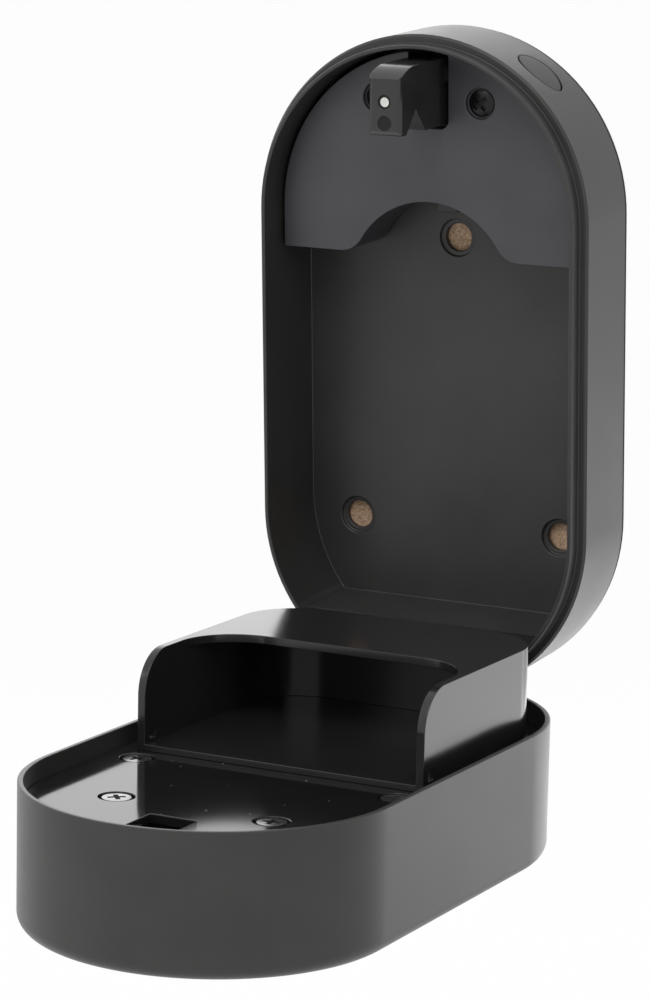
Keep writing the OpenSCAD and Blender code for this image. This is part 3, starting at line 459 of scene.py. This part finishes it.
# Each point of a section is a radius and a depth below the tongue's end, in mm.
RING_SECTION = [(1.03, 0.29), (1.47, 0.29), (1.47, 0.16), (1.25, 0.22), (1.03, 0.12)]
POCKET_SHADE_SECTION = [(0.0, 0.24), (1.56, 0.24), (1.56, 0.12), (1.2, 0.20), (0.0, 0.20)]
POCKET_BELOW = 4.5 * MM  # from the magnet's middle down to the middle of the second pocket
magnet_points = [v.co for v in nodes["sensing_magnet"].data.vertices]
magnet_x, magnet_z = [sum(along(magnet_points, Vector(axis))) / 2 for axis in ((1, 0, 0), (0, 0, 1))]
tongue_tip = along([v.co for v in nodes["latch_tongue"].data.vertices], Vector((0, 1, 0)))[0]
# painted shade: near-black for the step round the magnet and for the lower pocket
recess_shade = finish("recess_shade_black", (0.008, 0.008, 0.008), 0.5, specular=0.25, cloud=1.5)


def turned(name, x, z, section):
    """A section of (radius, depth) points turned about an axis through the tongue's end."""
    points, faces = [], []
    for step in range(TURN_STEPS):
        angle = 2 * math.pi * step / TURN_STEPS
        this, after = step * len(section), (step + 1) % TURN_STEPS * len(section)
        for i, (radius, depth) in enumerate(section):
            j = (i + 1) % len(section)
            points.append((x + radius * MM * math.cos(angle), tongue_tip + depth * MM,
                           z + radius * MM * math.sin(angle)))
            faces.append((after + i, after + j, this + j, this + i))
    mesh = bpy.data.meshes.new(name)
    mesh.from_pydata(points, [], faces)
    shape = bmesh.new()
    shape.from_mesh(mesh)
    bmesh.ops.remove_doubles(shape, verts=shape.verts, dist=MERGE)
    on_axis = [edge for edge in shape.edges if not edge.link_faces]  # left where a full disc meets the axis
    bmesh.ops.delete(shape, geom=on_axis, context="EDGES")
    shape.to_mesh(mesh)
    shape.free()
    mesh.materials.append(recess_shade)
    piece = linked(name, mesh)
    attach(piece, body_of["latch_tongue"])
    print(name, "has", len(mesh.polygons), "faces")


turned("magnet_ring", magnet_x, magnet_z, RING_SECTION)
turned("pocket_shade", magnet_x, magnet_z - POCKET_BELOW, POCKET_SHADE_SECTION)

# %% [markdown]
# ## Screws
#
# The safe is held together by cross-head screws: a low domed head with a cross pressed into
# it, on a plain shank. One Geometry Nodes tree makes a single screw from named sizes and sets
# it on every point it is given, so that all groups share one shape. Each screw is turned by
# its own amount about its axis, because nobody lines the crosses up.

# %% Helpers for trees that repeat a shape
SEED = 7


def new_tree(name, sizes):
    """A Geometry Nodes tree with a named input for each size, and the sockets inside it."""
    tree = bpy.data.node_groups.new(name, "GeometryNodeTree")
    tree.interface.new_socket("Points", in_out="INPUT", socket_type="NodeSocketGeometry")
    for size, kind in sizes.items():
        tree.interface.new_socket(size, in_out="INPUT", socket_type="NodeSocket" + kind)
    tree.interface.new_socket("Pieces", in_out="OUTPUT", socket_type="NodeSocketGeometry")
    return tree, tree.nodes.new("NodeGroupInput").outputs


def set_on_points(tree, given, shape):
    """Puts a shape on every point, turned to face the given way, then makes it real geometry."""
    twist = add(tree, "FunctionNodeRandomValue", {"data_type": "FLOAT"})
    floats = [s for s in twist.inputs if s.type == "VALUE" and s.enabled]
    floats[0].default_value, floats[1].default_value = 0.0, math.pi / 2
    twist.inputs["Seed"].default_value = SEED
    turn = [s for s in twist.outputs if s.type == "VALUE" and s.enabled][0]
    turn = calc(tree, "MULTIPLY", turn, given["Twist"])
    spin = add(tree, "ShaderNodeCombineXYZ", fill={"Z": turn})
    spin = add(tree, "FunctionNodeEulerToRotation", fill={0: spin.outputs[0]})
    aim = add(tree, "FunctionNodeEulerToRotation", fill={0: given["Facing"]})
    both = add(tree, "FunctionNodeRotateRotation", {"rotation_space": "LOCAL"},
               {0: aim.outputs[0], 1: spin.outputs[0]})
    copies = add(tree, "GeometryNodeInstanceOnPoints",
                 fill={"Points": given["Points"], "Instance": shape, "Rotation": both.outputs[0]})
    real = add(tree, "GeometryNodeRealizeInstances", fill={0: copies.outputs[0]})
    coloured = add(tree, "GeometryNodeSetMaterial", fill={0: real.outputs[0], "Material": given["Finish"]})
    add(tree, "NodeGroupOutput", fill={0: coloured.outputs[0]})


def barrel(tree, radius, height, base, rings=1, sides=48):
    """A cylinder on Z that starts at the height called base."""
    made = add(tree, "GeometryNodeMeshCylinder", {"fill_type": "TRIANGLE_FAN"},
               {"Vertices": sides, "Side Segments": 1, "Fill Segments": rings, "Radius": radius, "Depth": height})
    middle = calc(tree, "ADD", calc(tree, "MULTIPLY", height, 0.5), base)
    lift = add(tree, "ShaderNodeCombineXYZ", fill={"Z": middle})
    moved = add(tree, "GeometryNodeTransform",
                fill={"Geometry": made.outputs["Mesh"], "Translation": lift.outputs[0]})
    return moved.outputs[0]


def radius_and_height(tree):
    """Distance from the Z axis and height of each point."""
    apart = add(tree, "ShaderNodeSeparateXYZ", fill={0: add(tree, "GeometryNodeInputPosition").outputs[0]})
    x, y, z = apart.outputs
    square = calc(tree, "ADD", calc(tree, "MULTIPLY", x, x), calc(tree, "MULTIPLY", y, y))
    return calc(tree, "SQRT", square), z


# %% The screw tree
HEAD_TOP = 0.9  # points above this share of the head's height are on its top
DOME_POWER = 2.4  # a larger power keeps more of the head level
CUT = {"operation": "DIFFERENCE", "solver": "MANIFOLD"}  # this solver keeps solids this small closed
SCREW_SIZES = {"Head Diameter": "Float", "Head Height": "Float", "Dome": "Float", "Recess Length": "Float",
               "Recess Width": "Float", "Recess Depth": "Float", "Shank Diameter": "Float",
               "Shank Length": "Float", "Twist": "Float", "Facing": "Vector", "Finish": "Material"}
screw_tree, given = new_tree("cross_head_screw", SCREW_SIZES)
head_r = calc(screw_tree, "MULTIPLY", given["Head Diameter"], 0.5)
head = barrel(screw_tree, head_r, given["Head Height"], 0.0, rings=8)
far, up = radius_and_height(screw_tree)
on_top = calc(screw_tree, "GREATER_THAN", up, calc(screw_tree, "MULTIPLY", given["Head Height"], HEAD_TOP))
share = calc(screw_tree, "POWER", calc(screw_tree, "DIVIDE", far, head_r), DOME_POWER)
drop = calc(screw_tree, "MULTIPLY", calc(screw_tree, "MULTIPLY", share, given["Dome"]), -1.0)
sunk = add(screw_tree, "ShaderNodeCombineXYZ", fill={"Z": drop})
domed = add(screw_tree, "GeometryNodeSetPosition",
            fill={"Geometry": head, "Selection": on_top, "Offset": sunk.outputs[0]})
arms = []
recess = [given["Recess Length"], given["Recess Width"]]
twice = calc(screw_tree, "MULTIPLY", given["Recess Depth"], 2.0)
to_top = add(screw_tree, "ShaderNodeCombineXYZ", fill={"Z": given["Head Height"]})
for x_size, y_size in (recess, recess[::-1]):
    size = add(screw_tree, "ShaderNodeCombineXYZ", fill={"X": x_size, "Y": y_size, "Z": twice})
    box = add(screw_tree, "GeometryNodeMeshCube", fill={"Size": size.outputs[0]})
    arms.append(add(screw_tree, "GeometryNodeTransform",
                    fill={"Geometry": box.outputs["Mesh"], "Translation": to_top.outputs[0]}).outputs[0])
cut = add(screw_tree, "GeometryNodeMeshBoolean", CUT, {0: domed.outputs[0]})
for arm in arms:
    screw_tree.links.new(arm, cut.inputs[1])
shank_r = calc(screw_tree, "MULTIPLY", given["Shank Diameter"], 0.5)
shank_end = calc(screw_tree, "MULTIPLY", given["Shank Length"], -1.0)
shank = barrel(screw_tree, shank_r, given["Shank Length"], shank_end, sides=24)
joined = add(screw_tree, "GeometryNodeJoinGeometry")
for solid in (cut.outputs["Mesh"], shank):
    screw_tree.links.new(solid, joined.inputs[0])
set_on_points(screw_tree, given, joined.outputs[0])
print("screw tree has", len(screw_tree.nodes), "nodes")

# %% Helpers that find the screws in the model
def islands(node_name):
    """The points of each separate solid of a model piece."""
    shape = bmesh.new()
    shape.from_mesh(nodes[node_name].data)
    bmesh.ops.remove_doubles(shape, verts=shape.verts, dist=MERGE)
    left = set(shape.verts)
    found = []
    while left:
        group, reached = set(), [left.pop()]
        while reached:
            vertex = reached.pop()
            group.add(vertex)
            near = {edge.other_vert(vertex) for edge in vertex.link_edges} & left
            left -= near
            reached += near
        found.append([v.co.copy() for v in group])
    shape.free()
    return sorted(found, key=lambda points: [round(min(p[axis] for p in points), 5) for axis in range(3)])


def set_tree(piece, tree, values):
    """Adds a Geometry Nodes modifier and sets its inputs by their identifiers."""
    modifier = piece.modifiers.new("made_by_rule", "NODES")
    modifier.node_group = tree
    by_name = {item.name: item.identifier for item in tree.interface.items_tree if item.in_out == "INPUT"}
    for size, value in values.items():
        modifier[by_name[size]] = value


# %% Set the screws
FRONT = Vector((0, -1, 0))
ON_DOOR = OPEN_TURN.to_3x3() @ FRONT
WIDER = {"cover_screws": 1.16}  # heads with a washer rim, which nearly fill their recess
ARM_LENGTH, ARM_WIDTH = 0.62, 0.17  # the cross, as shares of the head's diameter
ARM_DEPTH = 0.7  # as a share of the head's height
SCREW_GROUPS = [  # piece of the model, the way its heads face, head height, dome and shank diameter in mm
    ("cover_screws", FRONT, 1.1, 0.7, 2.4), ("tongue_screws", FRONT, 1.3, 0.6, 2.0),
    ("plate_screws", -ON_DOOR, 1.1, 0.08, 2.8), ("bin_screws", ON_DOOR, 0.8, 0.35, 2.0),
    ("case_screws", ON_DOOR, 1.3, 0.6, 2.0), ("tray_screws", -ON_DOOR, 1.3, 0.6, 2.0),
    ("board_screws", -ON_DOOR, 1.3, 0.6, 2.0)]
for node_name, facing, head_h, dome, shank_d in SCREW_GROUPS:
    across = facing.cross(Vector((1, 0, 0)))
    seats = []
    for points in islands(node_name):
        low, high = along(points, facing)
        left_x, right_x = along(points, Vector((1, 0, 0)))
        side_low, side_high = along(points, across)
        seats.append(Vector(((left_x + right_x) / 2, 0, 0)) + across * (side_low + side_high) / 2
                     + facing * (high - head_h * MM))
    head_d = (right_x - left_x) * WIDER.get(node_name, 1.0)
    seat_mesh = bpy.data.meshes.new(node_name + "_seats")
    seat_mesh.from_pydata(seats, [], [])
    screws = linked(node_name + "_cross_head", seat_mesh)
    set_tree(screws, screw_tree, {
        "Head Diameter": head_d, "Head Height": head_h * MM, "Dome": dome * MM,
        "Recess Length": head_d * ARM_LENGTH, "Recess Width": head_d * ARM_WIDTH,
        "Recess Depth": head_h * ARM_DEPTH * MM,
        "Shank Diameter": shank_d * MM, "Shank Length": high - low - head_h * MM, "Twist": 1.0,
        "Facing": facing.to_track_quat("Z", "Y").to_euler(), "Finish": finish_of[node_name]})
    settled(screws)
    screws.data.set_sharp_from_angle(angle=SHARP)
    stands_for(screws, node_name)
    print(screws.name, len(seats), "screws,", len(screws.data.polygons), "faces")

# %% [markdown]
# ## Keys
#
# The front of the door carries twelve round push keys. A fingertip finds a key by its dished
# top and its rounded rim. A lathe profile would do, but a rule is easier to change: the tree
# takes a plain barrel with many rings on its end, lowers the middle into a shallow dish and
# rounds the rim. The hollow behind each key, where the rubber dome sits, is cut out again.

# %% The key tree
KEY_TOP = 0.98  # points above this share of the key's height are on its top
DISH_FLOOR = 0.62  # the level part of the dish, as a share of the radius inside the rim
JOIN = {"operation": "UNION", "solver": "MANIFOLD"}
KEY_SIZES = {"Cap Diameter": "Float", "Key Height": "Float", "Flange Diameter": "Float", "Flange Height": "Float",
             "Rim Round": "Float", "Dish Depth": "Float", "Hollow Diameter": "Float", "Hollow Depth": "Float",
             "Twist": "Float", "Facing": "Vector", "Finish": "Material"}
key_tree, given = new_tree("dished_push_key", KEY_SIZES)
cap_r = calc(key_tree, "MULTIPLY", given["Cap Diameter"], 0.5)
cap = barrel(key_tree, cap_r, given["Key Height"], 0.0, rings=28, sides=64)
far, up = radius_and_height(key_tree)
on_top = calc(key_tree, "GREATER_THAN", up, calc(key_tree, "MULTIPLY", given["Key Height"], KEY_TOP))
flat_r = calc(key_tree, "SUBTRACT", cap_r, given["Rim Round"])
past = calc(key_tree, "MAXIMUM", calc(key_tree, "SUBTRACT", far, flat_r), 0.0)
inside = calc(key_tree, "SUBTRACT", calc(key_tree, "MULTIPLY", given["Rim Round"], given["Rim Round"]),
              calc(key_tree, "MULTIPLY", past, past))
rim_rise = calc(key_tree, "SQRT", calc(key_tree, "MAXIMUM", inside, 0.0))
rim_drop = calc(key_tree, "SUBTRACT", given["Rim Round"], rim_rise)
bowl = add(key_tree, "ShaderNodeMapRange", {"interpolation_type": "SMOOTHSTEP"},
           {"Value": far, "From Min": calc(key_tree, "MULTIPLY", flat_r, DISH_FLOOR), "From Max": flat_r,
            "To Min": given["Dish Depth"], "To Max": 0.0})
drop = calc(key_tree, "MULTIPLY", calc(key_tree, "ADD", rim_drop, bowl.outputs["Result"]), -1.0)
sunk = add(key_tree, "ShaderNodeCombineXYZ", fill={"Z": drop})
dished = add(key_tree, "GeometryNodeSetPosition",
             fill={"Geometry": cap, "Selection": on_top, "Offset": sunk.outputs[0]})
flange_r = calc(key_tree, "MULTIPLY", given["Flange Diameter"], 0.5)
flange = barrel(key_tree, flange_r, given["Flange Height"], 0.0, sides=64)
whole = add(key_tree, "GeometryNodeMeshBoolean", JOIN)
for solid in (dished.outputs[0], flange):
    key_tree.links.new(solid, whole.inputs[1])
hollow_r = calc(key_tree, "MULTIPLY", given["Hollow Diameter"], 0.5)
twice = calc(key_tree, "MULTIPLY", given["Hollow Depth"], 2.0)
hollow = barrel(key_tree, hollow_r, twice, calc(key_tree, "MULTIPLY", given["Hollow Depth"], -1.0), sides=40)
cut = add(key_tree, "GeometryNodeMeshBoolean", CUT, {0: whole.outputs["Mesh"], 1: hollow})
set_on_points(key_tree, given, cut.outputs["Mesh"])
print("key tree has", len(key_tree.nodes), "nodes")

# %% Set the keys
KEY_SIGNS = {"key_1": "1", "key_2": "2", "key_3": "3", "key_4": "4", "key_5": "5", "key_6": "6", "key_7": "7",
             "key_8": "8", "key_9": "9", "key_clear": "x", "key_0": "0", "key_enter": "tick"}
DISH_DEPTH = 0.3 * MM
RIM_ROUND = 0.45 * MM
FLANGE_HEIGHT = 1.2 * MM
HOLLOW_DEPTH = 1.8 * MM
KEY_WALL = 2.4 * MM  # between the hollow and the side of the cap
TOP_BAND = 0.2 * MM  # points this close to the top belong to the cap and not to its flange
key_faces = {}
for node_name in KEY_SIGNS:
    closed = [OPEN_TURN.inverted() @ v.co for v in nodes[node_name].data.vertices]
    (x_low, x_high), (y_low, y_high), (z_low, z_high) = [along(closed, Vector(axis)) for axis in Matrix.Identity(3)]
    middle = Vector(((x_low + x_high) / 2, 0, (z_low + z_high) / 2))
    cap_d = 2 * max((p - middle).xz.length for p in closed if p.y < y_low + TOP_BAND)
    key_faces[node_name] = middle + Vector((0, y_low + DISH_DEPTH, 0))
    seat_mesh = bpy.data.meshes.new(node_name + "_seat")
    seat_mesh.from_pydata([OPEN_TURN @ (middle + Vector((0, y_high, 0)))], [], [])
    key = linked(node_name + "_dished", seat_mesh)
    set_tree(key, key_tree, {
        "Cap Diameter": cap_d, "Key Height": y_high - y_low, "Flange Diameter": x_high - x_low,
        "Flange Height": FLANGE_HEIGHT, "Rim Round": RIM_ROUND, "Dish Depth": DISH_DEPTH,
        "Hollow Diameter": cap_d - 2 * KEY_WALL, "Hollow Depth": HOLLOW_DEPTH, "Twist": 0.0,
        "Facing": ON_DOOR.to_track_quat("Z", "Y").to_euler(), "Finish": FINISHES["key_grey"]})
    settled(key)
    key.data.set_sharp_from_angle(angle=SHARP)
    stands_for(key, node_name)
print("keys:", len(key_faces), "with", len(key.data.polygons), "faces each")

# %% [markdown]
# ## Numerals
#
# Numerals on such keys are printed or moulded in a second, pale plastic. Text objects give the
# outlines; we turn each into a mesh, then place it on the floor of the key's dish, so that it
# stays below the rim. The last two signs are drawn with bars: a cross to clear, a tick to enter.

# %% Make the numerals
NUMERAL_SIZE = 7.02 * MM  # the size of the type; its numerals are some 5 mm high
NUMERAL_THICK = 0.05 * MM
BAR_WIDTH = 0.7 * MM
numeral_ink = finish("numeral_white", (0.72, 0.73, 0.72), 0.5, spread=0.05, tone=0.05, cloud=2)


def numeral_mesh(sign):
    """A numeral lying flat, with its outline welded into a closed solid."""
    words = bpy.data.curves.new("numeral", "FONT")
    words.body = sign
    words.size = NUMERAL_SIZE
    words.extrude = NUMERAL_THICK
    words.align_x = "CENTER"
    words.align_y = "CENTER"
    holder = linked("numeral_text", words)
    graph = bpy.context.evaluated_depsgraph_get()
    mesh = bpy.data.meshes.new_from_object(holder.evaluated_get(graph), depsgraph=graph)
    bpy.data.objects.remove(holder)
    shape = bmesh.new()
    shape.from_mesh(mesh)
    bmesh.ops.remove_doubles(shape, verts=shape.verts, dist=MERGE)
    bmesh.ops.dissolve_degenerate(shape, edges=shape.edges, dist=MERGE)
    shape.to_mesh(mesh)
    shape.free()
    return mesh


def bars_mesh(bars):
    """Flat bars as (middle x, middle y, length, angle); sizes in millimetres."""
    shape = bmesh.new()
    for x, y, length, angle in bars:
        place = (Matrix.Translation((x * MM, y * MM, 0)) @ Matrix.Rotation(math.radians(angle), 4, "Z")
                 @ Matrix.Diagonal((length * MM, BAR_WIDTH, 2 * NUMERAL_THICK, 1)))
        bmesh.ops.create_cube(shape, size=1, matrix=place)
    mesh = bpy.data.meshes.new("key_sign")
    shape.to_mesh(mesh)
    shape.free()
    return mesh


SIGN_BARS = {"x": [(0, 0, 5.2, 45), (0, 0, 5.2, -45)], "tick": [(-1.35, -0.55, 2.6, -45), (0.9, 0.25, 4.6, 52)]}
stand_up = Matrix.Rotation(math.pi / 2, 4, "X")
for node_name, sign in KEY_SIGNS.items():
    mesh = bars_mesh(SIGN_BARS[sign]) if sign in SIGN_BARS else numeral_mesh(sign)
    mesh.transform(OPEN_TURN @ Matrix.Translation(key_faces[node_name]) @ stand_up)
    sign_piece = linked(node_name + "_sign", mesh)
    mesh.materials.clear()
    mesh.materials.append(numeral_ink)
    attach(sign_piece, body_of[node_name])
print("signs:", list(KEY_SIGNS.values()))
